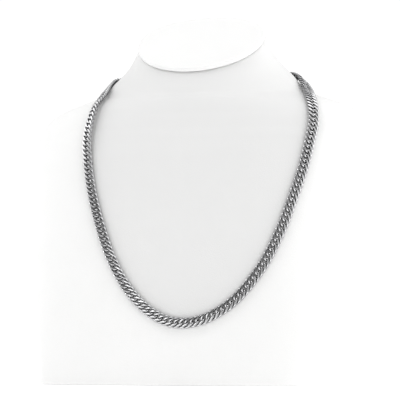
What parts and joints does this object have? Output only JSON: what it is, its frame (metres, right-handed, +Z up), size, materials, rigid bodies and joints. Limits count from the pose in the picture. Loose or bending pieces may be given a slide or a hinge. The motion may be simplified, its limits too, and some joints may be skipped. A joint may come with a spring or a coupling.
{
  "type": "double curb chain on a neck bust",
  "caption": "Closed neck chain of doubled, slanted curb links, worn on a plain white neck display bust that stands on a flat base.",
  "frame": {"origin": "middle of the whole object's box at floor height, on the bust's flat base", "axes": "+Z up, the bust's chest faces -Y, +X is the right-hand side of the picture"},
  "size_m": [0.229, 0.132, 0.2499],
  "materials": {
    "bust_skin": "matt white leatherette",
    "cap_skin": "matt white leatherette",
    "chain_metal": "polished steel with flat bright facets",
    "clasp_metal": "polished steel"
  },
  "bodies": {
    "root": {"bust_body": "bust_skin", "neck_cap": "cap_skin", "links_01": "chain_metal", "links_02": "chain_metal", "links_03": "chain_metal", "links_04": "chain_metal", "links_05": "chain_metal", "links_06": "chain_metal", "links_07": "chain_metal", "links_08": "chain_metal", "links_09": "chain_metal", "links_10": "chain_metal", "end_tab_left": "clasp_metal", "end_tab_right": "clasp_metal", "end_ring_left": "clasp_metal", "end_ring_right": "clasp_metal", "clasp": "clasp_metal"}
  },
  "joints": []
}
